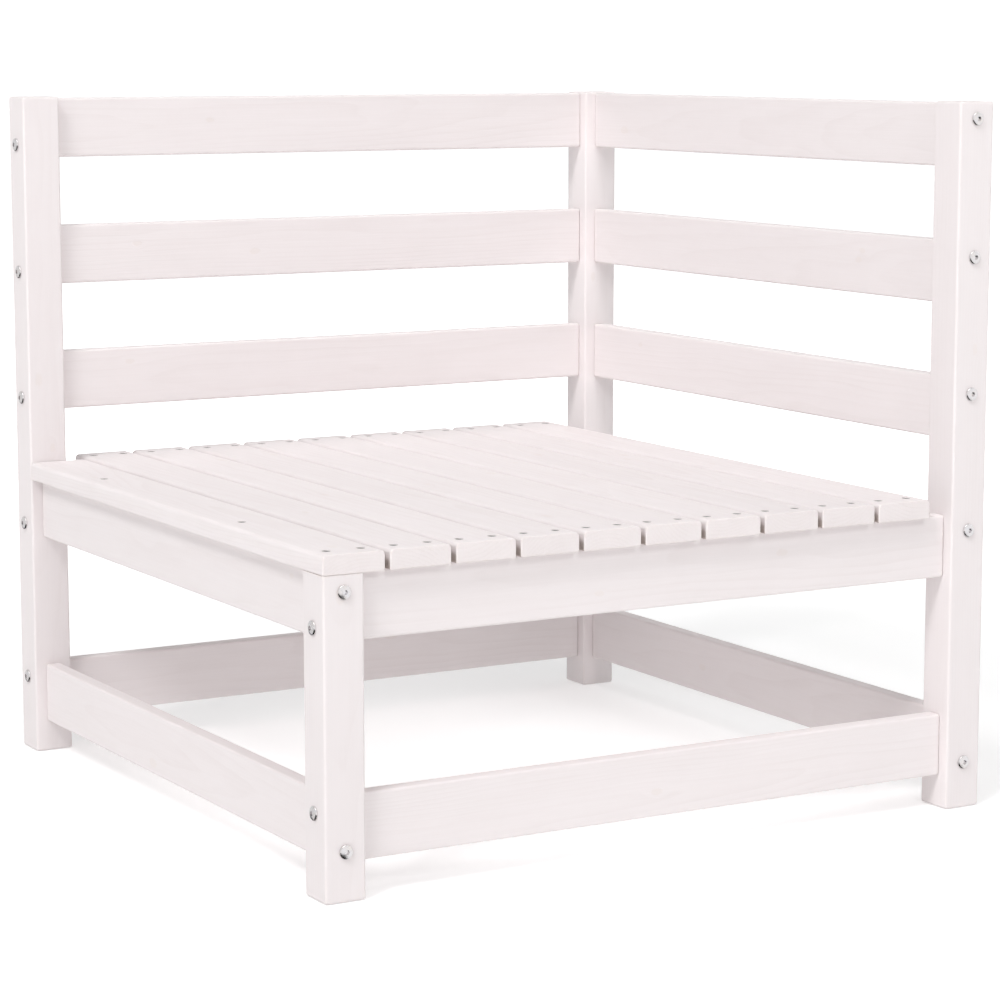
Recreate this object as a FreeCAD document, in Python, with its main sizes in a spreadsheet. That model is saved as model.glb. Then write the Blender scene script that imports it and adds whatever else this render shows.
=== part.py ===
import FreeCAD, Part
import os
import Sketcher

# Garden corner sofa: a rigid bolted frame of square posts and edge-on boards,
# with a seat of slats screwed on top. Millimetres, +X right, +Y back, +Z up,
# origin on the floor under the middle of the frame.

V = FreeCAD.Vector
doc = FreeCAD.newDocument("corner_sofa")

# ---------------------------------------------------------------- dimensions
sheet = doc.addObject("Spreadsheet::Sheet", "Dimensions")
CELLS = [
    ("overall_w", 700.0),      # over the posts, left to right
    ("overall_d", 700.0),      # over the posts, front to back
    ("overall_h", 670.0),      # floor to the top of the tall posts
    ("post_w", 39.0),          # square section of the posts
    ("post_round", 2.5),       # eased post edges
    ("board_high", 59.5),      # boards stand on edge
    ("board_thick", 16.0),
    ("board_round", 2.5),
    ("end_round", 2.0),        # round the ends of the boards
    ("seat_under", 283.0),     # underside of the seat slats, top of the rails
    ("rail_z", 223.5),         # underside of the seat rails
    ("stretcher_z", 31.5),     # underside of the lower stretchers
    ("back_low_z", 352.8),     # underside of the lowest back slat
    ("back_pitch", 128.2),     # from one back slat to the next
    ("slat_wide", 59.0),
    ("slat_thick", 18.0),
    ("slat_gap", 5.0),
    ("slat_round", 4.0),       # along the upper edges of the slats
    ("slat_under_round", 1.6), # along their lower edges
    ("slat_end_round", 1.3),   # round their ends
    ("slat_clear", 1.0),       # first slat to the left rear post
    ("hole_low", 13.0),        # bolt above the lower edge of a board
    ("hole_high", 14.6),       # bolt below the upper edge of a board
    ("bolt_dia", 6.0),
    ("bolt_len", 70.0),
    ("bolt_bore", 6.6),
    ("bolt_bore_deep", 36.0),  # into the board's end
    ("head_dia", 13.0),        # low mushroom head of the frame bolts
    ("head_edge", 0.69),       # straight wall below the rim
    ("head_rim", 1.72),        # radius of the rim
    ("head_rim_wide", 1.105),
    ("head_shoulder", 2.3),    # where the rim runs into the dome
    ("head_high", 3.3),
    ("socket_dia", 4.62),      # across the corners of a 4 mm hex
    ("socket_deep", 2.0),
    ("nut_dia", 10.0),
    ("nut_len", 12.0),
    ("nut_thread", 6.3),
    ("nut_bore", 10.4),
    ("nut_bore_deep", 14.2),
    ("nut_back", 22.0),        # from the board's end to the nut
    ("nut_slot", 1.4),
    ("nut_slot_deep", 1.2),
    ("dowel_dia", 8.0),
    ("dowel_len", 28.0),
    ("dowel_bore", 8.2),
    ("dowel_in_post", 12.0),
    ("screw_dia", 4.0),
    ("screw_len", 35.0),
    ("screw_head_dia", 7.8),
    ("screw_bore", 4.4),
    ("screw_sink_dia", 8.4),
    ("screw_sink", 0.6),       # head below the slat's face
    ("screw_edge", 13.2),      # from a slat's long edge
    ("screw_pilot_deep", 19.5),
    ("screw_recess", 4.2),
    ("screw_recess_wide", 1.0),
    ("screw_recess_deep", 1.3),
    ("first_screw_a", 199.0),  # first slat's middle screws, from the front
    ("first_screw_b", 515.0),
]
DIM = {}
for row, (alias, number) in enumerate(CELLS, 1):
    sheet.set("A%d" % row, alias.replace("_", " "))
    sheet.set("B%d" % row, "%g" % number)
    sheet.setAlias("B%d" % row, alias)
    DIM[alias] = number
doc.recompute()


def ex(text):
    """Write D.name for a cell of the sheet."""
    return text.replace("D.", "Dimensions.")


# ------------------------------------------------------------------- helpers
def new_body(name):
    return doc.addObject("PartDesign::Body", name)


def plane(body, role):
    for feature in body.Origin.OriginFeatures:
        if feature.Role == role:
            return feature
    raise ValueError(role)


def sketch_on(body, name, role, offset=None):
    sk = body.newObject("Sketcher::SketchObject", name)
    sk.AttachmentSupport = [(plane(body, role), "")]
    sk.MapMode = "FlatFace"
    if offset:
        sk.setExpression("AttachmentOffset.Base.z", ex(offset))
    return sk


def bind(sk, index, tag, expression):
    sk.renameConstraint(index, tag)
    sk.setExpression("Constraints." + tag, ex(expression))


def rectangle(sk, wide, tall, tag="box", centred=True):
    """Rectangle symmetric about the vertical axis, centred or standing on the horizontal one."""
    lo = -5.0 if centred else 0.0
    hi = 5.0 if centred else 10.0
    pts = [V(-5, lo, 0), V(5, lo, 0), V(5, hi, 0), V(-5, hi, 0)]
    g = [sk.addGeometry(Part.LineSegment(pts[i], pts[(i + 1) % 4]), False) for i in range(4)]
    for i in range(4):
        sk.addConstraint(Sketcher.Constraint("Coincident", g[i], 2, g[(i + 1) % 4], 1))
    for i in (0, 2):
        sk.addConstraint(Sketcher.Constraint("Horizontal", g[i]))
    for i in (1, 3):
        sk.addConstraint(Sketcher.Constraint("Vertical", g[i]))
    if centred:
        sk.addConstraint(Sketcher.Constraint("Symmetric", g[0], 1, g[1], 2, -1, 1))
    else:
        sk.addConstraint(Sketcher.Constraint("Symmetric", g[0], 1, g[0], 2, -1, 1))
    bind(sk, sk.addConstraint(Sketcher.Constraint("DistanceX", g[0], 1, g[0], 2, 10.0)), tag + "_wide", wide)
    bind(sk, sk.addConstraint(Sketcher.Constraint("DistanceY", g[1], 1, g[1], 2, 10.0)), tag + "_tall", tall)


def circle(sk, tag, diameter, up=None, across=None):
    """Circle whose centre is `across` and `up` from the sketch origin; None is on the axis,
    a leading minus turns the direction round."""
    g = sk.addGeometry(Part.Circle(V(0, 0, 0), V(0, 0, 1), 3.0), False)
    bind(sk, sk.addConstraint(Sketcher.Constraint("Diameter", g, 6.0)), tag + "_dia", diameter)
    for kind, value, axis, name in (("DistanceX", across, -2, "_across"), ("DistanceY", up, -1, "_up")):
        if value is None:
            sk.addConstraint(Sketcher.Constraint("PointOnObject", g, 3, axis))
        elif value.startswith("-"):
            bind(sk, sk.addConstraint(Sketcher.Constraint(kind, g, 3, -1, 1, 1.0)), tag + name, value[1:])
        else:
            bind(sk, sk.addConstraint(Sketcher.Constraint(kind, -1, 1, g, 3, 1.0)), tag + name, value)
    return g


def pad(body, name, sk, length, symmetric=True):
    f = body.newObject("PartDesign::Pad", name)
    f.Profile = sk
    f.SideType = "Symmetric" if symmetric else "One side"
    f.setExpression("Length", ex(length))
    doc.recompute()
    return f


def pocket(body, name, sk, depth=None, reverse=False):
    """A depth, or right through both ways when there is none."""
    f = body.newObject("PartDesign::Pocket", name)
    f.Profile = sk
    if depth is None:
        f.Type = "ThroughAll"
        f.SideType = "Symmetric"
    else:
        f.Type = "Length"
        f.setExpression("Length", ex(depth))
    f.Reversed = reverse
    doc.recompute()
    return f


def fillet(body, name, base, edges, radius):
    f = body.newObject("PartDesign::Fillet", name)
    f.Base = (base, edges)
    f.setExpression("Radius", ex(radius))
    doc.recompute()
    return f


def edges_where(shape, test):
    names = []
    for i, e in enumerate(shape.Edges, 1):
        a, b = e.Vertexes[0].Point, e.Vertexes[-1].Point
        if test(a, b):
            names.append("Edge%d" % i)
    return names


def put(obj, x="0", y="0", z="0", turn=0.0):
    obj.Placement = FreeCAD.Placement(V(0, 0, 0), FreeCAD.Rotation(V(0, 0, 1), turn))
    for axis, text in (("x", x), ("y", y), ("z", z)):
        if text != "0":
            obj.setExpression("Placement.Base." + axis, ex(text))


nodes = []


def node(obj, label):
    obj.Label = label
    nodes.append(obj)
    return obj


# ------------------------------------------------------- levels of the boards
# Underside of each board above the floor, and the heights of its bolts: boards
# that run left to right and boards that run front to back are bolted at
# different heights, so the bolts pass each other inside a post.
LEVELS = {
    "stretcher": "D.stretcher_z",
    "rail": "D.rail_z",
    "low": "D.back_low_z",
    "mid": "(D.back_low_z + D.back_pitch)",
    "top": "(D.back_low_z + 2 * D.back_pitch)",
}
LOW = "D.hole_low"
HIGH = "(D.board_high - D.hole_high)"


def bolt_up(level, run):
    """Height of a bolt in its board: run is 'x' (left to right) or 'y' (front to back)."""
    if level == "stretcher":
        return HIGH if run == "x" else LOW
    return LOW if run == "x" else HIGH


def bolt_z(level, run):
    return LEVELS[level] + " + " + bolt_up(level, run)


def dowel_z(level):
    return LEVELS[level] + " + D.board_high / 2"


TALL = ["stretcher", "rail", "low", "mid", "top"]
SHORT = ["stretcher", "rail"]


# --------------------------------------------------------------------- posts
def post(label, height, x_levels, y_levels, x_face, y_face, x, y, open_top=True):
    """Square post. x_levels/y_levels: boards bolted to it running each way;
    x_face/y_face: +1 or -1, the side of the post where those boards butt."""
    body = new_body(label)
    sk = sketch_on(body, label + "_section", "XY_Plane")
    rectangle(sk, "D.post_w", "D.post_w")
    base = pad(body, label + "_length", sk, height, symmetric=False)
    if open_top:
        names = ["Edge%d" % i for i in range(1, len(base.Shape.Edges) + 1)]
    else:
        # the top of the leg stays square under the slat that covers it
        names = edges_where(base.Shape, lambda a, b: min(a.z, b.z) < 1e-6)
    fillet(body, label + "_eased", base, names, "D.post_round")
    # through bores for the bolts
    sk = sketch_on(body, label + "_bolts_x", "YZ_Plane")
    for i, level in enumerate(x_levels):
        circle(sk, "x%d" % i, "D.bolt_bore", up=bolt_z(level, "x"))
    pocket(body, label + "_bores_x", sk)
    sk = sketch_on(body, label + "_bolts_y", "XZ_Plane")
    for i, level in enumerate(y_levels):
        circle(sk, "y%d" % i, "D.bolt_bore", up=bolt_z(level, "y"))
    pocket(body, label + "_bores_y", sk)
    # blind bores for the dowels, in the faces where the boards butt
    sk = sketch_on(body, label + "_dowels_x", "YZ_Plane", ("" if x_face > 0 else "-") + "D.post_w / 2")
    for i, level in enumerate(x_levels):
        circle(sk, "x%d" % i, "D.dowel_bore", up=dowel_z(level))
    pocket(body, label + "_dowel_bores_x", sk, "D.dowel_in_post + 0.5", reverse=x_face < 0)
    sk = sketch_on(body, label + "_dowels_y", "XZ_Plane", ("-" if y_face > 0 else "") + "D.post_w / 2")
    for i, level in enumerate(y_levels):
        circle(sk, "y%d" % i, "D.dowel_bore", up=dowel_z(level))
    last = pocket(body, label + "_dowel_bores_y", sk, "D.dowel_in_post + 0.5", reverse=y_face > 0)
    if not open_top:
        # one seat screw goes down into the end grain of the leg
        sk = sketch_on(body, label + "_screw", "XY_Plane", height)
        circle(sk, "s0", "D.screw_bore", across="-D.post_w / 2 - D.screw_edge")
        last = pocket(body, label + "_screw_bore", sk, "D.screw_pilot_deep")
    body.Tip = last
    put(body, x, y)
    return node(body, label)


LEFT = "-D.overall_w / 2 + D.post_w / 2"
RIGHT = "D.overall_w / 2 - D.post_w / 2"
FRONT = "-D.overall_d / 2 + D.post_w / 2"
REAR = "D.overall_d / 2 - D.post_w / 2"

post("post_left_rear", "D.overall_h", TALL, SHORT, +1, -1, LEFT, REAR)
post("post_corner", "D.overall_h", TALL, TALL, -1, -1, RIGHT, REAR)
post("post_right_front", "D.overall_h", SHORT, TALL, -1, +1, RIGHT, FRONT)
post("leg_front", "D.seat_under", SHORT, SHORT, +1, +1, LEFT, FRONT, open_top=False)


# -------------------------------------------------------------------- boards
def board(label, level, run, x, y, turn):
    """Board on edge between two posts, length along its own x. The bolt and the dowel
    enter each end; the nut sits in a blind bore from the hidden face."""
    length = "(D.overall_w - 2 * D.post_w)" if run == "x" else "(D.overall_d - 2 * D.post_w)"
    body = new_body(label)
    sk = sketch_on(body, label + "_section", "YZ_Plane")
    rectangle(sk, "D.board_thick", "D.board_high", centred=False)
    base = pad(body, label + "_length", sk, length)
    names = edges_where(base.Shape, lambda a, b: abs(a.x - b.x) > 1.0)
    eased = fillet(body, label + "_eased", base, names, "D.board_round")
    # eased all round each end, so the butt joint shows as a fine groove
    half = max(v.Point.x for v in eased.Shape.Vertexes)
    ends = edges_where(eased.Shape, lambda a, b: abs(a.x - b.x) < 1e-6 and abs(abs(a.x) - half) < 1e-6)
    fillet(body, label + "_ends_eased", eased, ends, "D.end_round")
    up = bolt_up(level, run)
    sk = sketch_on(body, label + "_bolt", "YZ_Plane", length + " / 2")
    circle(sk, "bolt", "D.bolt_bore", up=up)
    a = pocket(body, label + "_bolt_bore", sk, "D.bolt_bore_deep")
    sk = sketch_on(body, label + "_dowel", "YZ_Plane", length + " / 2")
    circle(sk, "dowel", "D.dowel_bore", up="D.board_high / 2")
    b = pocket(body, label + "_dowel_bore", sk, "D.dowel_len - D.dowel_in_post + 0.5")
    sk = sketch_on(body, label + "_nut", "XZ_Plane", "D.board_thick / 2")
    circle(sk, "nut", "D.nut_bore", up=up, across=length + " / 2 - D.nut_back")
    c = pocket(body, label + "_nut_bore", sk, "D.nut_bore_deep")
    m = body.newObject("PartDesign::Mirrored", label + "_ends")
    m.Originals = [a, b, c]
    m.MirrorPlane = (plane(body, "YZ_Plane"), [""])
    body.Tip = m
    doc.recompute()
    put(body, x, y, LEVELS[level], turn)
    return node(body, label)


def screw_row(body, tag, start, count):
    """Row of pilot bores in the upper edge of a rail, one per slat, from `start` along +x."""
    sk = sketch_on(body, body.Name + "_pilot_" + tag, "XY_Plane", "D.board_high")
    circle(sk, "pilot", "D.screw_bore", across=start)
    p = pocket(body, body.Name + "_pilots_" + tag, sk, "D.screw_pilot_deep")
    row = body.newObject("PartDesign::LinearPattern", body.Name + "_row_" + tag)
    row.Originals = [p]
    row.Direction = (sk, ["H_Axis"])
    row.Mode = "Extent"
    row.setExpression("Length", ex("%d * (D.slat_wide + D.slat_gap)" % (count - 1)))
    row.Occurrences = count
    body.Tip = row
    doc.recompute()


for level, name in (("top", "back_slat_top"), ("mid", "back_slat_middle"), ("low", "back_slat_bottom"),
                    ("rail", "rear_seat_rail"), ("stretcher", "rear_stretcher")):
    board(name, level, "x", "0", REAR, 180)
for level, name in (("top", "side_slat_top"), ("mid", "side_slat_middle"), ("low", "side_slat_bottom"),
                    ("rail", "side_seat_rail"), ("stretcher", "side_stretcher")):
    board(name, level, "y", RIGHT, "0", 90)
for level, name in (("rail", "front_seat_rail"), ("stretcher", "front_stretcher")):
    board(name, level, "x", "0", FRONT, 180)
for level, name in (("rail", "left_seat_rail"), ("stretcher", "left_stretcher")):
    board(name, level, "y", LEFT, "0", 90)

# seat screws' pilot bores; these two rails are turned round, so their +x is the sofa's left
PITCH = "(D.slat_wide + D.slat_gap)"
for name, second in (("rear_seat_rail", 9), ("front_seat_rail", 10)):
    rail = doc.getObject(name)
    screw_row(rail, "a", "-9 * %s + D.screw_edge - D.overall_w / 2" % PITCH, 9)
    screw_row(rail, "b", "-9 * %s + D.slat_wide - D.screw_edge - D.overall_w / 2" % PITCH, second)
rail = doc.getObject("left_seat_rail")
sk = sketch_on(rail, "left_seat_rail_pilot", "XY_Plane", "D.board_high")
circle(sk, "front", "D.screw_bore", across="-D.overall_d / 2 - D.first_screw_a")
circle(sk, "rear", "D.screw_bore", across="D.first_screw_b - D.overall_d / 2")
rail.Tip = pocket(rail, "left_seat_rail_pilots", sk, "D.screw_pilot_deep")


# --------------------------------------------------------------- seat slats
def slat(number):
    label = "seat_slat_%02d" % number
    first = number == 1
    length = "(D.overall_d - D.post_w - D.slat_clear)" if first else "D.overall_d"
    body = new_body(label)
    sk = sketch_on(body, label + "_section", "XZ_Plane")
    rectangle(sk, "D.slat_wide", "D.slat_thick", centred=False)
    base = pad(body, label + "_length", sk, length)
    names = edges_where(base.Shape, lambda a, b: abs(a.y - b.y) > 1.0 and a.z > 1.0)
    upper = fillet(body, label + "_eased", base, names, "D.slat_round")
    names = edges_where(upper.Shape, lambda a, b: abs(a.y - b.y) > 1.0 and a.z < 1e-6)
    eased = fillet(body, label + "_under_eased", upper, names, "D.slat_under_round")
    half = max(v.Point.y for v in eased.Shape.Vertexes)
    ends = edges_where(eased.Shape, lambda a, b: abs(a.y - b.y) < 1e-6 and abs(abs(a.y) - half) < 1e-6)
    fillet(body, label + "_ends_eased", eased, ends, "D.slat_end_round")
    sk = sketch_on(body, label + "_screws", "XY_Plane", "D.slat_thick")
    side = "D.slat_wide / 2 - D.screw_edge"
    end = length + " / 2 - D.post_w / 2"
    circle(sk, "fl", "D.screw_bore", up="-" + end, across="-" + side)
    circle(sk, "fr", "D.screw_bore", up="-" + end, across=side)
    if first:
        # the rear of the first slat is held along the left rail instead
        inner = "-D.slat_wide / 2 - D.post_w / 2"
        circle(sk, "ma", "D.screw_bore", up="-" + length + " / 2 - D.first_screw_a", across=inner)
        circle(sk, "mb", "D.screw_bore", up="D.first_screw_b - " + length + " / 2", across=inner)
    else:
        circle(sk, "rl", "D.screw_bore", up=end, across="-" + side)
        circle(sk, "rr", "D.screw_bore", up=end, across=side)
    doc.recompute()
    hole = body.newObject("PartDesign::Hole", label + "_holes")
    hole.Profile = sk
    doc.recompute()
    hole.ThreadType = "None"
    hole.DepthType = "ThroughAll"
    hole.setExpression("Diameter", ex("D.screw_bore"))
    hole.HoleCutType = "Counterdrill"
    hole.HoleCutCustomValues = True
    hole.setExpression("HoleCutDiameter", ex("D.screw_sink_dia"))
    hole.setExpression("HoleCutDepth", ex("D.screw_sink"))
    hole.HoleCutCountersinkAngle = 90.0
    doc.recompute()
    body.Tip = hole
    x = "-D.overall_w / 2 + D.slat_wide / 2 + %d * %s" % (number - 1, PITCH)
    y = "-D.overall_d / 2 + " + length + " / 2" if first else "0"
    put(body, x, y, "D.seat_under")
    return node(body, label)


for number in range(1, 11):
    slat(number)


# ----------------------------------------------------------------- fasteners
def outline(sk, points, domes=None):
    """Closed clockwise outline through corners given as (x expression, y expression, rough x, rough y).
    '0' keeps a corner on the axis, and a leading minus turns the direction round. domes maps a corner's
    number to the radius, rough middle point and cell of an outward arc that starts there."""
    n = len(points)
    domes = domes or {}
    g, start, stop = [], [], []
    for i in range(n):
        a = V(points[i][2], points[i][3], 0)
        b = V(points[(i + 1) % n][2], points[(i + 1) % n][3], 0)
        if i in domes:
            middle, cell = domes[i]
            g.append(sk.addGeometry(Part.Arc(b, V(middle[0], middle[1], 0), a), False))
            bind(sk, sk.addConstraint(Sketcher.Constraint("Radius", g[i], sk.Geometry[g[i]].Radius)), "dome%d" % i, cell)
            start.append(2)
            stop.append(1)
        else:
            g.append(sk.addGeometry(Part.LineSegment(a, b), False))
            start.append(1)
            stop.append(2)
    for i in range(n):
        k = (i + 1) % n
        sk.addConstraint(Sketcher.Constraint("Coincident", g[i], stop[i], g[k], start[k]))
    for i, (x, y, rough_x, rough_y) in enumerate(points):
        for kind, value, axis, name, rough in (("DistanceX", x, -2, "px", rough_x), ("DistanceY", y, -1, "py", rough_y)):
            tag = "%s%d" % (name, i)
            if value == "0":
                sk.addConstraint(Sketcher.Constraint("PointOnObject", g[i], start[i], axis))
            elif value.startswith("-"):
                bind(sk, sk.addConstraint(Sketcher.Constraint(kind, g[i], start[i], -1, 1, -rough)), tag, value[1:])
            else:
                bind(sk, sk.addConstraint(Sketcher.Constraint(kind, -1, 1, g[i], start[i], rough)), tag, value)
    return g


def turned(body, name, sk):
    f = body.newObject("PartDesign::Revolution", name)
    f.Profile = sk
    f.ReferenceAxis = (sk, ["V_Axis"])
    f.Angle = 360.0
    doc.recompute()
    return f


def round_edges(shape, z, radius):
    return edges_where(shape, lambda a, b: abs(a.z - z) < 1e-4 and abs(b.z - z) < 1e-4
                       and abs((a.x * a.x + a.y * a.y) ** 0.5 - radius) < 1e-3
                       and abs((b.x * b.x + b.y * b.y) ** 0.5 - radius) < 1e-3)


# mushroom-head bolt: under the head at its origin, shank along +z
bolt = new_body("bolt_master")
sk = sketch_on(bolt, "bolt_profile", "XZ_Plane")
outline(sk, [
    ("0", "D.bolt_len", 0, 70),
    ("D.bolt_dia / 2 - 0.8", "D.bolt_len", 2.2, 70),
    ("D.bolt_dia / 2", "D.bolt_len - 0.8", 3, 69.2),
    ("D.bolt_dia / 2", "0", 3, 0),
    ("D.head_dia / 2", "0", 6.5, 0),
    ("D.head_dia / 2", "-D.head_edge", 6.5, -0.69),
    ("D.head_dia / 2 - D.head_rim_wide", "-D.head_shoulder", 5.395, -2.3),
    ("0", "-D.head_high", 0, -3.3),
], {5: ((6.197, -1.664), "D.head_rim"),
    6: ((2.8, -3.04), "((D.head_dia / 2 - D.head_rim_wide) ^ 2 + (D.head_high - D.head_shoulder) ^ 2)"
                      " / (2 * (D.head_high - D.head_shoulder))")})
turned(bolt, "bolt_turned", sk)
sk = sketch_on(bolt, "bolt_socket", "XY_Plane", "-D.head_high")
ring = sk.addGeometry(Part.Circle(V(0, 0, 0), V(0, 0, 1), 2.3), True)
sk.addConstraint(Sketcher.Constraint("Coincident", ring, 3, -1, 1))
bind(sk, sk.addConstraint(Sketcher.Constraint("Diameter", ring, 4.6)), "corners", "D.socket_dia")
hexa = [V(2.3, 0, 0), V(1.15, 2, 0), V(-1.15, 2, 0), V(-2.3, 0, 0), V(-1.15, -2, 0), V(1.15, -2, 0)]
side = [sk.addGeometry(Part.LineSegment(hexa[i], hexa[(i + 1) % 6]), False) for i in range(6)]
for i in range(6):
    sk.addConstraint(Sketcher.Constraint("Coincident", side[i], 2, side[(i + 1) % 6], 1))
    sk.addConstraint(Sketcher.Constraint("PointOnObject", side[i], 1, ring))
for i in range(1, 6):
    sk.addConstraint(Sketcher.Constraint("Equal", side[0], side[i]))
sk.addConstraint(Sketcher.Constraint("PointOnObject", side[0], 1, -1))
bolt.Tip = pocket(bolt, "bolt_socket_cut", sk, "D.socket_deep", reverse=True)

# barrel nut: its own axis along y, the thread across it along x
nut = new_body("nut_master")
sk = sketch_on(nut, "nut_section", "XZ_Plane")
circle(sk, "nut", "D.nut_dia")
base = pad(nut, "nut_length", sk, "D.nut_len")
f = nut.newObject("PartDesign::Chamfer", "nut_eased")
f.Base = (base, edges_where(base.Shape, lambda a, b: abs(a.y - b.y) < 1e-6))
f.Size = 0.5
doc.recompute()
sk = sketch_on(nut, "nut_thread_section", "YZ_Plane")
circle(sk, "thread", "D.nut_thread")
pocket(nut, "nut_thread_bore", sk)
sk = sketch_on(nut, "nut_slot_section", "XZ_Plane", "D.nut_len / 2")
rectangle(sk, "D.nut_dia + 2", "D.nut_slot")
nut.Tip = pocket(nut, "nut_slot_cut", sk, "D.nut_slot_deep")

# wooden dowel along x, chamfered ends
dowel = new_body("dowel_master")
sk = sketch_on(dowel, "dowel_section", "YZ_Plane")
circle(sk, "dowel", "D.dowel_dia")
base = pad(dowel, "dowel_length", sk, "D.dowel_len")
f = dowel.newObject("PartDesign::Chamfer", "dowel_eased")
f.Base = (base, edges_where(base.Shape, lambda a, b: abs(a.x - b.x) < 1e-6))
f.Size = 0.9
dowel.Tip = f
doc.recompute()

# countersunk seat screw: top of the head at its origin, point along -z
screw = new_body("screw_master")
sk = sketch_on(screw, "screw_profile", "XZ_Plane")
outline(sk, [
    ("0", "0", 0, 0),
    ("D.screw_head_dia / 2", "0", 3.9, 0),
    ("D.screw_head_dia / 2", "-0.3", 3.9, -0.3),
    ("D.screw_dia / 2", "-0.3 + (D.screw_head_dia - D.screw_dia) / 2", 2, -2.2),
    ("D.screw_dia / 2", "-D.screw_len - 5", 2, -30),
    ("0", "-D.screw_len", 0, -35),
])
turned(screw, "screw_turned", sk)
sk = sketch_on(screw, "screw_recess_a", "XY_Plane")
rectangle(sk, "D.screw_recess", "D.screw_recess_wide")
pocket(screw, "screw_recess_cut_a", sk, "D.screw_recess_deep")
sk = sketch_on(screw, "screw_recess_b", "XY_Plane")
rectangle(sk, "D.screw_recess_wide", "D.screw_recess")
screw.Tip = pocket(screw, "screw_recess_cut_b", sk, "D.screw_recess_deep")


def copies(label, master, places):
    """One group of separate solids: each place is (rotation, x, y, z)."""
    links = []
    for i, (rotation, x, y, z) in enumerate(places, 1):
        link = doc.addObject("App::Link", "%s_%02d" % (label, i))
        link.LinkedObject = master
        link.Placement = FreeCAD.Placement(V(0, 0, 0), rotation)
        for axis, text in (("x", x), ("y", y), ("z", z)):
            link.setExpression("Placement.Base." + axis, ex(text))
        links.append(link)
    group = doc.addObject("Part::Compound", label)
    group.Links = links
    doc.recompute()
    return node(group, label)


def aim(direction):
    return FreeCAD.Rotation(V(0, 0, 1), V(*direction))


ALONG_X = FreeCAD.Rotation()
ALONG_Y = FreeCAD.Rotation(V(0, 0, 1), 90)
bolts, nuts, dowels = [], [], []
for levels, run, line in ((TALL, "x", REAR), (SHORT, "x", FRONT), (TALL, "y", RIGHT), (SHORT, "y", LEFT)):
    over = "D.overall_w" if run == "x" else "D.overall_d"
    for level in levels:
        bz, dz = bolt_z(level, run), dowel_z(level)
        for sign in (-1, 1):
            s = "" if sign > 0 else "-"
            head = s + "(%s / 2)" % over
            nut_at = s + "(%s / 2 - D.post_w - D.nut_back)" % over
            dowel_at = s + "(%s / 2 - D.post_w + D.dowel_in_post - D.dowel_len / 2)" % over
            if run == "x":
                bolts.append((aim((-sign, 0, 0)), head, line, bz))
                nuts.append((FreeCAD.Rotation(V(0, 0, 1), 180), nut_at, line, bz))
                dowels.append((ALONG_X, dowel_at, line, dz))
            else:
                bolts.append((aim((0, -sign, 0)), line, head, bz))
                nuts.append((ALONG_Y, line, nut_at, bz))
                dowels.append((ALONG_Y, line, dowel_at, dz))
copies("frame_bolts", bolt, bolts)
copies("barrel_nuts", nut, nuts)
copies("locating_dowels", dowel, dowels)

screws = []
TOP = "D.seat_under + D.slat_thick - D.screw_sink"
for number in range(1, 11):
    edge = "-D.overall_w / 2 + %d * %s + " % (number - 1, PITCH)
    for k, across in enumerate((edge + "D.screw_edge", edge + "D.slat_wide - D.screw_edge")):
        turn = FreeCAD.Rotation(V(0, 0, 1), (37 * number + 61 * k) % 90)
        screws.append((turn, across, FRONT, TOP))
        if number > 1:
            screws.append((FreeCAD.Rotation(V(0, 0, 1), (53 * number + 29 * k) % 90), across, REAR, TOP))
for k, along in enumerate(("first_screw_a", "first_screw_b")):
    screws.append((FreeCAD.Rotation(V(0, 0, 1), 20 + 40 * k), LEFT, "-D.overall_d / 2 + D." + along, TOP))
copies("seat_screws", screw, screws)

# ------------------------------------------------------------ checks, export
doc.recompute()
bad = [o.Name for o in doc.Objects if "Invalid" in o.State or "Error" in o.State]
if bad:
    raise RuntimeError("failed objects: " + ", ".join(bad))
for o in doc.Objects:
    if o.TypeId in ("PartDesign::Pocket", "PartDesign::Hole"):
        if o.Shape.Volume > o.BaseFeature.Shape.Volume - 1.0:
            raise RuntimeError("cuts nothing: " + o.Name)
for o in nodes:
    s = o.Shape
    if s.isNull() or not s.isValid():
        raise RuntimeError("bad shape: " + o.Label)

os.makedirs("parts", exist_ok=True)
for o in nodes:
    o.Shape.exportStep("parts/%s.step" % o.Label)
    b = o.Shape.BoundBox
    print("%-20s solids %2d  volume %9.1f  x %7.1f %7.1f  y %7.1f %7.1f  z %6.1f %6.1f" % (
        o.Label, len(o.Shape.Solids), o.Shape.Volume, b.XMin, b.XMax, b.YMin, b.YMax, b.ZMin, b.ZMax))
print(len(nodes), "nodes")
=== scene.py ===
import math
import random

import bpy
from mathutils import Matrix, Vector


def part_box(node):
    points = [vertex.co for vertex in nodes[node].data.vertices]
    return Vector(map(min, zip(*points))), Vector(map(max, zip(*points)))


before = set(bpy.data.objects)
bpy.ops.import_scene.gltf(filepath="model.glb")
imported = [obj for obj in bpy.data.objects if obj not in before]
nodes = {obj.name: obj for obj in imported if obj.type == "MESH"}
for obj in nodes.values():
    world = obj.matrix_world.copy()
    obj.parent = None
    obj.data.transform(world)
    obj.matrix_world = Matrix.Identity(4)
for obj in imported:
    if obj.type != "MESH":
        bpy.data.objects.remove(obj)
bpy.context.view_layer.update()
scene = bpy.context.scene


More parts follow.
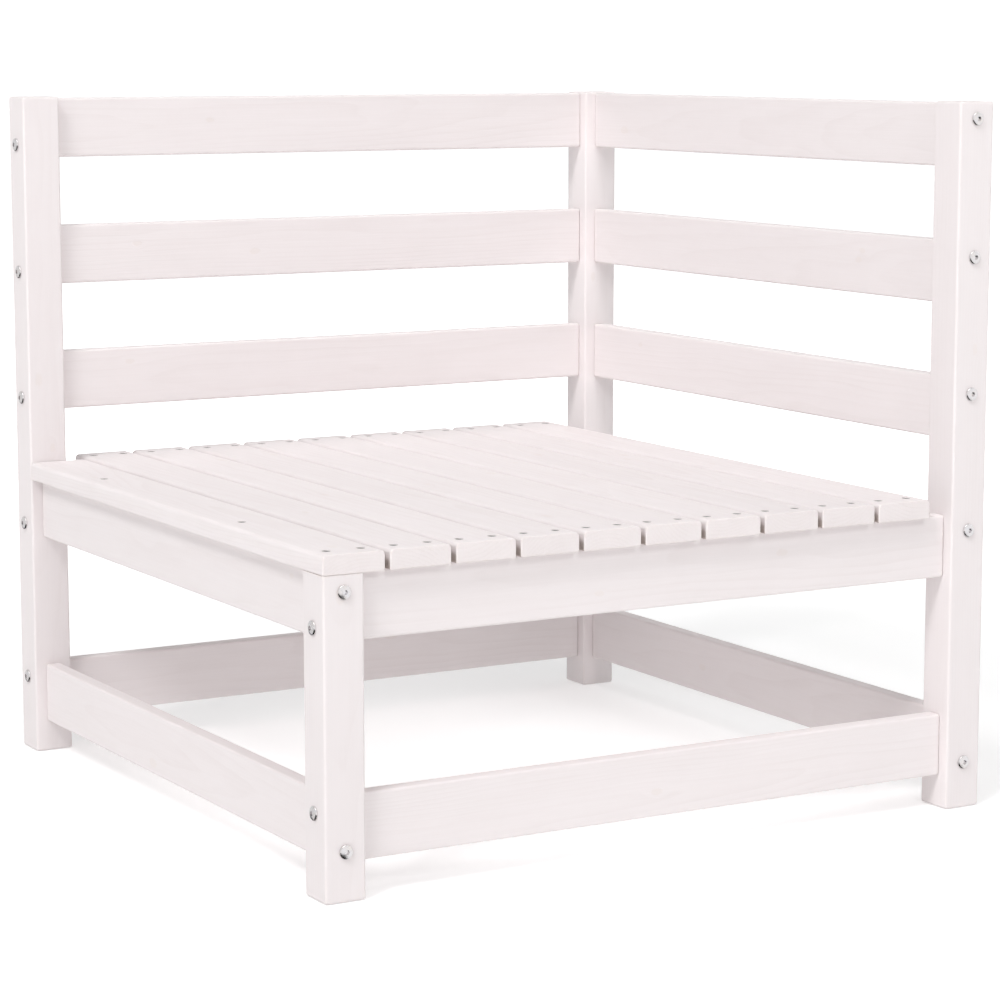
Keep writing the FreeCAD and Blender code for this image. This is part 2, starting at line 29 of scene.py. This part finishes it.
# ------------------------------------------------------------- node helpers
class Graph:
    """A material's node tree, with short calls for the nodes used below."""

    def __init__(self, name):
        self.mat = bpy.data.materials.new(name)
        self.mat.use_nodes = True
        self.nt = self.mat.node_tree
        self.nt.nodes.clear()
        self.out = self.nt.nodes.new("ShaderNodeOutputMaterial")
        self.bsdf = self.nt.nodes.new("ShaderNodeBsdfPrincipled")
        self.nt.links.new(self.bsdf.outputs["BSDF"], self.out.inputs["Surface"])

    def node(self, kind, **props):
        n = self.nt.nodes.new(kind)
        for k, v in props.items():
            setattr(n, k, v)
        return n

    def feed(self, socket, value):
        if isinstance(value, bpy.types.NodeSocket):
            self.nt.links.new(value, socket)
        else:
            socket.default_value = value

    def position(self):
        return self.node("ShaderNodeTexCoord").outputs["Object"]

    def mapping(self, vec, location=(0, 0, 0), rotation=(0, 0, 0), scale=(1, 1, 1)):
        n = self.node("ShaderNodeMapping", vector_type="POINT")
        self.feed(n.inputs["Vector"], vec)
        n.inputs["Location"].default_value = location
        n.inputs["Rotation"].default_value = rotation
        n.inputs["Scale"].default_value = scale
        return n.outputs["Vector"]

    def math(self, op, a, b=0.0, c=0.0, clamp=False):
        n = self.node("ShaderNodeMath", operation=op, use_clamp=clamp)
        for s, v in zip(n.inputs, (a, b, c)):
            self.feed(s, v)
        return n.outputs[0]

    def vmath(self, op, a, b=(0, 0, 0), scale=None):
        n = self.node("ShaderNodeVectorMath", operation=op)
        self.feed(n.inputs[0], a)
        if op != "LENGTH":
            self.feed(n.inputs[1], b)
        if scale is not None:
            self.feed(n.inputs["Scale"], scale)
        return n.outputs["Value" if op == "LENGTH" else "Vector"]

    def noise(self, vec, scale=1.0, detail=2.0, rough=0.5, colour=False, warp=0.0):
        n = self.node("ShaderNodeTexNoise", noise_dimensions="3D")
        self.feed(n.inputs["Vector"], vec)
        n.inputs["Scale"].default_value = scale
        n.inputs["Detail"].default_value = detail
        n.inputs["Roughness"].default_value = rough
        n.inputs["Distortion"].default_value = warp
        return n.outputs["Color" if colour else "Fac"]

    def span(self, value, lo, hi, to_lo=0.0, to_hi=1.0, kind="SMOOTHSTEP"):
        n = self.node("ShaderNodeMapRange", interpolation_type=kind, clamp=True) if kind == "LINEAR" else \
            self.node("ShaderNodeMapRange", interpolation_type=kind)
        self.feed(n.inputs["Value"], value)
        n.inputs["From Min"].default_value = lo
        n.inputs["From Max"].default_value = hi
        n.inputs["To Min"].default_value = to_lo
        n.inputs["To Max"].default_value = to_hi
        return n.outputs["Result"]

    def ramp(self, value, stops, kind="LINEAR"):
        n = self.node("ShaderNodeValToRGB")
        n.color_ramp.interpolation = kind
        e = n.color_ramp.elements
        while len(e) > 1:
            e.remove(e[-1])
        e[0].position = stops[0][0]
        for i, (at, v) in enumerate(stops):
            if i:
                e.new(at)
            e[i].color = (v, v, v, 1.0) if isinstance(v, float) else (*v, 1.0)
        self.feed(n.inputs["Fac"], value)
        return n.outputs["Color"]

    def mix(self, fac, a, b):
        n = self.node("ShaderNodeMix", data_type="RGBA", blend_type="MIX")
        self.feed(n.inputs[0], fac)
        for s, v in ((n.inputs[6], a), (n.inputs[7], b)):
            self.feed(s, v if isinstance(v, bpy.types.NodeSocket) else (*v, 1.0))
        return n.outputs[2]

    def bump(self, height, strength=1.0, distance=0.001):
        n = self.node("ShaderNodeBump")
        n.inputs["Strength"].default_value = strength
        n.inputs["Distance"].default_value = distance
        self.feed(n.inputs["Height"], height)
        self.feed(self.bsdf.inputs["Normal"], n.outputs["Normal"])


# ------------------------------------------------------------- painted pine
# Rows of a turn from the sofa's axes to a board's own: along, across, through.
ALONG = {
    "x": Matrix(((1, 0, 0), (0, 0, 1), (0, -1, 0))),
    "y": Matrix(((0, 1, 0), (0, 0, 1), (1, 0, 0))),
    "z": Matrix(((0, 0, 1), (1, 0, 0), (0, 1, 0))),
    "seat": Matrix(((0, 1, 0), (1, 0, 0), (0, 0, -1))),
}
PAINT = (0.825, 0.774, 0.777)


def tint(c, k):
    return tuple(min(1.0, v * k) for v in c)


def pine(node, run, seed, paint=PAINT, knots=1, relief=1.0, figure=1.0, gaps=(), level_and_lift=1.0):
    """White paint over planed pine: growth rings as a solid pattern round a pith line outside the board,
    so faces show straight and arched figure and the ends show rings; knots that bend the rings; fibres,
    brush drag and thin paint along the eased edges. gaps names the sides (-1, 1 across) that face a neighbour,
    whose walls get painted shade, darker deeper down in the gap; the last factor scales the piece's paint, partly
    its own colour and partly a painted lift against shade. Sizes in the tree are millimetres."""
    rnd = random.Random(seed)
    lo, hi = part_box(node)
    turn = ALONG[run]
    centre = (lo + hi) / 2 * 1000
    size = turn @ ((hi - lo) * 1000)
    half = [abs(v) / 2 for v in size]
    g = Graph("pine_" + node)
    p = g.mapping(g.position(), location=-(turn @ centre), rotation=turn.to_euler("XYZ"), scale=(1000, 1000, 1000))

    # growth rings; near a knot the pattern is drawn in, so the lines run round it
    flow, knot = p, None
    for k in range(knots):
        at = (rnd.uniform(-0.92, 0.92) * half[0], rnd.uniform(-0.75, 0.75) * half[1], rnd.uniform(-0.4, 0.4) * half[2])
        wide = rnd.uniform(2.2, 4.6)
        off = g.vmath("SUBTRACT", p, at)
        d = g.vmath("LENGTH", g.vmath("MULTIPLY", off, (0.55, 1.0, 0.10)))
        draw = g.span(d, 0.0, wide * 4.0, 0.82, 0.0, kind="SMOOTHERSTEP")
        flow = g.vmath("SUBTRACT", flow, g.vmath("SCALE", g.vmath("MULTIPLY", off, (0, 1, 0.15)), scale=draw))
        ragged = g.math("MULTIPLY_ADD", g.noise(g.vmath("MULTIPLY", p, (1 / 5, 1 / 4, 1 / 4)), detail=1.0), 1.8, d)
        this = g.span(ragged, wide * 0.8 + 0.9, wide * 1.25 + 0.9, 1.0, 0.0)
        knot = this if knot is None else g.math("MAXIMUM", knot, this)
    pith = (rnd.uniform(0, 900), rnd.uniform(-34, 34), rnd.choice((-1, 1)) * rnd.uniform(26, 85))
    q = g.mapping(flow, location=pith,
                  rotation=(0, math.radians(rnd.uniform(-1.6, 1.6)), math.radians(rnd.uniform(-1.6, 1.6))))
    wander = g.noise(g.vmath("MULTIPLY", q, (1 / 260, 1 / 55, 1 / 55)), detail=2.0, colour=True)
    wander = g.vmath("MULTIPLY", g.vmath("SUBTRACT", wander, (0.5, 0.5, 0.5)), (0, 15, 15))
    r = g.vmath("LENGTH", g.vmath("MULTIPLY", g.vmath("ADD", q, wander), (0, 1, 1)))
    pace = rnd.uniform(2.9, 4.3)
    t = g.math("FRACT", g.math("DIVIDE", r, pace))
    ring = g.ramp(t, [(0.0, 0.05), (0.5, 0.16), (0.82, 0.8), (0.93, 1.0), (1.0, 0.05)])
    fade = g.span(g.noise(g.vmath("MULTIPLY", p, (1 / 150, 1 / 24, 1 / 24)), detail=2.0), 0.32, 0.68, 0.35, 1.0)
    ring = g.math("MULTIPLY", ring, fade)

    # fibres and brush drag along the board, clouds in the coat
    fibre = g.noise(g.vmath("MULTIPLY", p, (1 / 75, 1 / 1.7, 1 / 1.7)), detail=3.0, rough=0.6)
    fine = g.noise(g.vmath("MULTIPLY", p, (1 / 16, 1 / 0.45, 1 / 0.45)), detail=2.0, rough=0.6)
    cloud = g.noise(g.vmath("MULTIPLY", p, (1 / 70, 1 / 26, 1 / 26)), detail=3.0, rough=0.55)

    # distance to the nearest edge of the board: the second smallest distance to its faces
    ab = g.vmath("ABSOLUTE", p)
    gap = g.vmath("SUBTRACT", tuple(half), ab)
    sep = g.node("ShaderNodeSeparateXYZ")
    g.feed(sep.inputs[0], gap)
    gx, gy, gz = sep.outputs
    low, high = g.math("MINIMUM", gx, gy), g.math("MAXIMUM", gx, gy)
    edge = g.math("MAXIMUM", low, g.math("MINIMUM", high, gz))
    rub = g.noise(g.vmath("MULTIPLY", p, (1 / 22, 1 / 5, 1 / 5)), detail=3.0, rough=0.65)
    worn = g.math("MULTIPLY", g.span(edge, 0.7, 2.3, 1.0, 0.0), g.span(rub, 0.40, 0.74, 0.06, 1.0))
    worn = g.math("MULTIPLY", worn, g.span(gx, 6.0, 70.0, 1.0, 0.35))
    end = g.span(gx, 0.05, 1.0, 1.0, 0.0)

    # colour
    shade = g.math("MULTIPLY_ADD", ring, 0.36, g.math("MULTIPLY_ADD", fibre, 0.55, g.math("MULTIPLY", cloud, 0.62)))
    shade = g.span(shade, 0.38, 1.12, 0.0, 1.0, kind="LINEAR")
    # a random spread of paint colour, times the piece's factor, which for some pieces is a painted lift against shade
    piece_factor = rnd.uniform(0.985, 1.012) * level_and_lift
    light = tint(paint, (1 + 0.017 * figure) * piece_factor)
    dark = tuple(c * (1 - k * figure) * piece_factor for c, k in zip(paint, (0.031, 0.042, 0.047)))
    colour = g.mix(shade, light, dark)
    if knot is not None:
        colour = g.mix(g.math("MULTIPLY", knot, 0.17), colour, (paint[0] * 0.90, paint[1] * 0.83, paint[2] * 0.74))
    colour = g.mix(g.math("MULTIPLY", worn, 0.20), colour, (paint[0] * 0.86, paint[1] * 0.77, paint[2] * 0.66))
    colour = g.mix(g.math("MULTIPLY", end, 0.22), colour, (paint[0] * 0.91, paint[1] * 0.88, paint[2] * 0.86))
    # painted shade: where a slat side faces a neighbour, its wall is painted darker with depth below the top (3.5 to
    # 14 mm), broken up by noise, in place of the shade deep in the gap
    if gaps:
        at = g.node("ShaderNodeSeparateXYZ")
        g.feed(at.inputs[0], p)
        deep = g.span(g.math("ADD", at.outputs[2], half[2]), 3.5, 14.0)
        painted_gap_shade = g.math("MULTIPLY", g.math("MULTIPLY", g.span(gy, 0.2, 0.9, 1.0, 0.0), deep), g.span(gx, 0.7, 1.8))
        if len(gaps) == 1:
            painted_gap_shade = g.math("MULTIPLY", painted_gap_shade, g.span(g.math("MULTIPLY", at.outputs[1], float(gaps[0])), 0.0, 2.0))
        painted_gap_shade = g.math("MULTIPLY", painted_gap_shade, g.span(rub, 0.25, 0.6, 0.50, 0.78))
        colour = g.mix(painted_gap_shade, colour, (paint[0] * 0.42, paint[1] * 0.36, paint[2] * 0.31))
    g.feed(g.bsdf.inputs["Base Color"], colour)

    # satin coat: duller on raised late wood and along thin edges
    rough = g.math("MULTIPLY_ADD", fibre, 0.16, g.math("MULTIPLY_ADD", ring, 0.05, 0.42))
    rough = g.math("MULTIPLY_ADD", worn, 0.12, rough)
    g.feed(g.bsdf.inputs["Roughness"], rough)
    g.bsdf.inputs["Specular IOR Level"].default_value = 0.38

    # relief, in millimetres: late wood stands proud, fibres drag, knots stand a little
    h = g.math("MULTIPLY_ADD", ring, 0.050 * relief, g.math("MULTIPLY_ADD", fibre, 0.11 * relief, g.math("MULTIPLY", fine, 0.035 * relief)))
    h = g.math("MULTIPLY_ADD", cloud, 0.10 * relief, h)
    if knot is not None:
        h = g.math("MULTIPLY_ADD", knot, -0.06 * relief, h)
    g.bump(h, strength=0.9, distance=0.001)
    return g.mat


# ------------------------------------------------------------- plated steel
def zinc(name, base, rough, seed, dirt=0.25):
    """Bright zinc plate: fine grain, a faint warm and cool drift and dull spots."""
    g = Graph(name)
    p = g.mapping(g.position(), location=(seed * 13.7, seed * 7.1, seed * 3.3), scale=(1000, 1000, 1000))
    drift = g.noise(g.vmath("MULTIPLY", p, (1 / 6, 1 / 6, 1 / 6)), detail=2.0)
    grain = g.noise(g.vmath("MULTIPLY", p, (1 / 0.35, 1 / 0.35, 1 / 0.35)), detail=3.0, rough=0.7)
    spots = g.span(g.noise(g.vmath("MULTIPLY", p, (1 / 1.4, 1 / 1.4, 1 / 1.4)), detail=2.0), 0.52, 0.75)
    warm = (base[0] * 1.02, base[1] * 0.99, base[2] * 0.94)
    cool = (base[0] * 0.95, base[1] * 0.98, base[2] * 1.02)
    colour = g.mix(drift, warm, cool)
    colour = g.mix(g.math("MULTIPLY", spots, dirt), colour, tint(base, 0.62))
    g.feed(g.bsdf.inputs["Base Color"], colour)
    g.bsdf.inputs["Metallic"].default_value = 1.0
    g.feed(g.bsdf.inputs["Roughness"], g.math("MULTIPLY_ADD", spots, 0.16, g.math("MULTIPLY_ADD", grain, 0.14, rough)))
    g.bump(g.math("MULTIPLY", grain, 0.012), strength=0.6, distance=0.001)
    return g.mat


def beech(name):
    """Bare turned beech: short dark flecks and fine fibres."""
    g = Graph(name)
    p = g.mapping(g.position(), scale=(1000, 1000, 1000))
    fleck = g.span(g.noise(g.vmath("MULTIPLY", p, (1 / 2.6, 1 / 2.6, 1 / 0.5)), detail=2.0), 0.55, 0.7)
    fibre = g.noise(g.vmath("MULTIPLY", p, (1 / 3.0, 1 / 3.0, 1 / 0.8)), detail=4.0, rough=0.65)
    colour = g.mix(fibre, (0.60, 0.42, 0.26), (0.49, 0.32, 0.18))
    colour = g.mix(g.math("MULTIPLY", fleck, 0.5), colour, (0.33, 0.20, 0.11))
    g.feed(g.bsdf.inputs["Base Color"], colour)
    g.feed(g.bsdf.inputs["Roughness"], g.math("MULTIPLY_ADD", fibre, 0.2, 0.5))
    g.bump(g.math("MULTIPLY", fibre, 0.05), strength=0.8, distance=0.001)
    return g.mat


def dress(node, mat):
    o = nodes[node]
    while len(o.material_slots) > 1:
        o.data.materials.pop()
    if not o.material_slots:
        o.data.materials.append(mat)
    o.material_slots[0].material = mat


WOOD = {
    "post_left_rear": ("z", 2), "post_corner": ("z", 2), "post_right_front": ("z", 1), "leg_front": ("z", 1),
    "back_slat_top": ("x", 1), "back_slat_middle": ("x", 2), "back_slat_bottom": ("x", 1),
    "rear_seat_rail": ("x", 2), "rear_stretcher": ("x", 1), "front_seat_rail": ("x", 2), "front_stretcher": ("x", 1),
    "side_slat_top": ("y", 1), "side_slat_middle": ("y", 2), "side_slat_bottom": ("y", 1),
    "side_seat_rail": ("y", 2), "side_stretcher": ("y", 1), "left_seat_rail": ("y", 1), "left_stretcher": ("y", 1),
}
# brightness per piece: the corner post and the two bottom back slats are painted lighter, a painted lift against the
# shade of the corner they stand in; the front leg is a little darker in its own colour
PIECE_LEVEL_AND_SHADE_LIFT = {"post_corner": 1.045, "back_slat_bottom": 1.04, "side_slat_bottom": 1.025, "leg_front": 0.98}
for i, (name, (run, knots)) in enumerate(WOOD.items()):
    post = run == "z"
    dress(name, pine(name, run, 101 + 17 * i, PAINT, knots, relief=0.75 if post else 1.0, figure=0.65 if post else 1.0,
                     level_and_lift=PIECE_LEVEL_AND_SHADE_LIFT.get(name, 1.0)))
for i in range(1, 11):
    name = "seat_slat_%02d" % i
    sides = (1,) if i == 1 else (-1,) if i == 10 else (-1, 1)
    dress(name, pine(name, "seat", 611 + 29 * i, PAINT, 1 + (i * 7) % 2, relief=2.2, figure=1.45, gaps=sides))
dress("frame_bolts", zinc("zinc_bolts", (0.80, 0.772, 0.780), 0.13, 1))
dress("barrel_nuts", zinc("zinc_nuts", (0.66, 0.66, 0.65), 0.24, 2))
# the screw steel is dark: a dark finish that also stands in for the shade in the sunk screw recesses, as painted shade
dress("seat_screws", zinc("zinc_screws", (0.25, 0.245, 0.24), 0.34, 3))
dress("locating_dowels", beech("beech_dowels"))


# ------------------------------------------------------------- floor, light
def floor_material():
    g = Graph("studio_floor")
    p = g.mapping(g.position(), scale=(1, 1, 1))
    n = g.noise(p, scale=0.8, detail=2.0)
    g.feed(g.bsdf.inputs["Base Color"], g.mix(n, (0.79, 0.79, 0.79), (0.81, 0.81, 0.81)))
    g.bsdf.inputs["Roughness"].default_value = 0.9
    g.bsdf.inputs["Specular IOR Level"].default_value = 0.1
    g.bsdf.inputs["Emission Color"].default_value = (1.0, 1.0, 1.0, 1.0)
    far = g.vmath("LENGTH", p)
    # a glowing floor that rises into the white wall further out; right under the seat it glows brighter, a painted
    # pool of light that fills the seat's shadow on the floor and lights the undersides from below; less of it falls
    # back on the sofa than the camera sees
    under_seat_glow = g.span(far, 0.15, 0.5, 0.49, 0.25)
    seen_straight = g.node("ShaderNodeLightPath").outputs["Is Camera Ray"]
    under_seat_glow = g.math("MULTIPLY_ADD", seen_straight, 0.08, under_seat_glow)
    lift = g.math("MULTIPLY_ADD", seen_straight, 0.34, 0.20)
    g.feed(g.bsdf.inputs["Emission Strength"], g.math("MULTIPLY_ADD", g.span(far, 0.9, 2.4), lift, under_seat_glow))
    # one-sided, so that a view from below shows the underside of the seat
    side = g.node("ShaderNodeMixShader")
    g.feed(side.inputs[0], g.node("ShaderNodeNewGeometry").outputs["Backfacing"])
    g.feed(side.inputs[1], g.bsdf.outputs["BSDF"])
    g.feed(side.inputs[2], g.node("ShaderNodeBsdfTransparent").outputs["BSDF"])
    g.feed(g.out.inputs["Surface"], side.outputs[0])
    return g.mat


mesh = bpy.data.meshes.new("floor")
mesh.from_pydata([(-30, -30, 0), (30, -30, 0), (30, 30, 0), (-30, 30, 0)], [], [(0, 1, 2, 3)])
mesh.materials.append(floor_material())
floor = bpy.data.objects.new("floor", mesh)
floor.location.z = -0.0005
scene.collection.objects.link(floor)
floor.visible_glossy = False

# An even white studio all round. Reflections see a brighter wall to the front right, a greyer ceiling and back,
# and dark corners low on the left and behind, so that bolt heads get a grey rim with a dark crescent.
world = bpy.data.worlds.new("studio")
world.use_nodes = True
scene.world = world
wt = world.node_tree
wt.nodes.clear()
wout = wt.nodes.new("ShaderNodeOutputWorld")
even = wt.nodes.new("ShaderNodeBackground")
even.inputs["Color"].default_value = (1.0, 1.0, 1.0, 1.0)
even.inputs["Strength"].default_value = 0.265
seen = wt.nodes.new("ShaderNodeBackground")
coord = wt.nodes.new("ShaderNodeTexCoord")


def facing(axis, lo, hi, to_lo, to_hi):
    """Brightness of the studio by how far a direction points along an axis."""
    dot = wt.nodes.new("ShaderNodeVectorMath")
    dot.operation = "DOT_PRODUCT"
    wt.links.new(coord.outputs["Generated"], dot.inputs[0])
    dot.inputs[1].default_value = axis
    n = wt.nodes.new("ShaderNodeMapRange")
    n.interpolation_type = "SMOOTHSTEP"
    for key, v in (("From Min", lo), ("From Max", hi), ("To Min", to_lo), ("To Max", to_hi)):
        n.inputs[key].default_value = v
    wt.links.new(dot.outputs["Value"], n.inputs["Value"])
    return n.outputs["Result"]


def times(a, b):
    n = wt.nodes.new("ShaderNodeMath")
    n.operation = "MULTIPLY"
    wt.links.new(a, n.inputs[0])
    wt.links.new(b, n.inputs[1])
    return n.outputs[0]


low_left = facing((-0.35, -0.30, -0.89), 0.56, 0.72, 1.0, 0.01)
low_back = facing((0.0, 0.75, -0.66), 0.87, 0.94, 1.0, 0.01)
front_right = facing((0.5, -0.86, 0.0), -1.0, 1.0, 0.76, 1.0)
overhead = facing((0.0, 0.0, 1.0), 0.15, 0.9, 1.0, 0.74)
wt.links.new(times(times(low_left, low_back), times(front_right, overhead)), seen.inputs["Color"])
seen.inputs["Strength"].default_value = 1.06
plain = wt.nodes.new("ShaderNodeBackground")
plain.inputs["Color"].default_value = (1.0, 1.0, 1.0, 1.0)
plain.inputs["Strength"].default_value = 1.1
path = wt.nodes.new("ShaderNodeLightPath")
pick = wt.nodes.new("ShaderNodeMixShader")
wt.links.new(path.outputs["Is Glossy Ray"], pick.inputs[0])
wt.links.new(even.outputs[0], pick.inputs[1])
wt.links.new(seen.outputs[0], pick.inputs[2])
wall = wt.nodes.new("ShaderNodeMixShader")
wt.links.new(path.outputs["Is Camera Ray"], wall.inputs[0])
wt.links.new(pick.outputs[0], wall.inputs[1])
wt.links.new(plain.outputs[0], wall.inputs[2])
wt.links.new(wall.outputs[0], wout.inputs["Surface"])


def soft_box(name, azimuth, elevation, watts, size=2.4, far=6.0, glint=True):
    """A square soft box that looks at the seat; azimuth 0 is in front, negative to the left. Without glint it
    lights the paint but leaves no hot spot on the bolts."""
    az, el = math.radians(azimuth), math.radians(elevation)
    away = Vector((math.sin(az) * math.cos(el), -math.cos(az) * math.cos(el), math.sin(el)))
    data = bpy.data.lights.new(name, "AREA")
    data.shape = "SQUARE"
    data.size = size
    data.energy = watts
    o = bpy.data.objects.new(name, data)
    o.location = Vector((0, 0, 0.3)) + away * far
    o.rotation_euler = (-away).to_track_quat("-Z", "Y").to_euler()
    scene.collection.objects.link(o)
    o.visible_glossy = glint
    return o


soft_box("key", -62, 48, 910, size=3.75, far=15.0, glint=False)
soft_box("front", -3, 33, 80, size=1.4, glint=False)
soft_box("left_low", -80, 8, 42, size=3.0, glint=False)
soft_box("top", -40, 70, 104, size=5.0)
soft_box("right_fill", 100, 40, 52, size=5.0)
soft_box("rear_fill", 165, 12, 60, size=5.0, glint=False)

# --------------------------------------------------------------- the camera
YAW, PITCH, DIST = math.radians(-29.94), math.radians(8.467), 3.0405
back = Vector((math.sin(YAW) * math.cos(PITCH), -math.cos(YAW) * math.cos(PITCH), math.sin(PITCH)))
cam_data = bpy.data.cameras.new("camera")
cam_data.sensor_fit = "HORIZONTAL"
cam_data.sensor_width = 36.0
cam_data.lens = 36.0 * 3064.5 / 1000.0
cam_data.clip_start, cam_data.clip_end = 0.05, 200.0
cam = bpy.data.objects.new("camera", cam_data)
cam.location = Vector((0.02211, 0.0, 0.27505)) + back * DIST
cam.rotation_euler = (-back).to_track_quat("-Z", "Y").to_euler()
scene.collection.objects.link(cam)
scene.camera = cam

scene.view_settings.view_transform = "Standard"
scene.view_settings.look = "None"
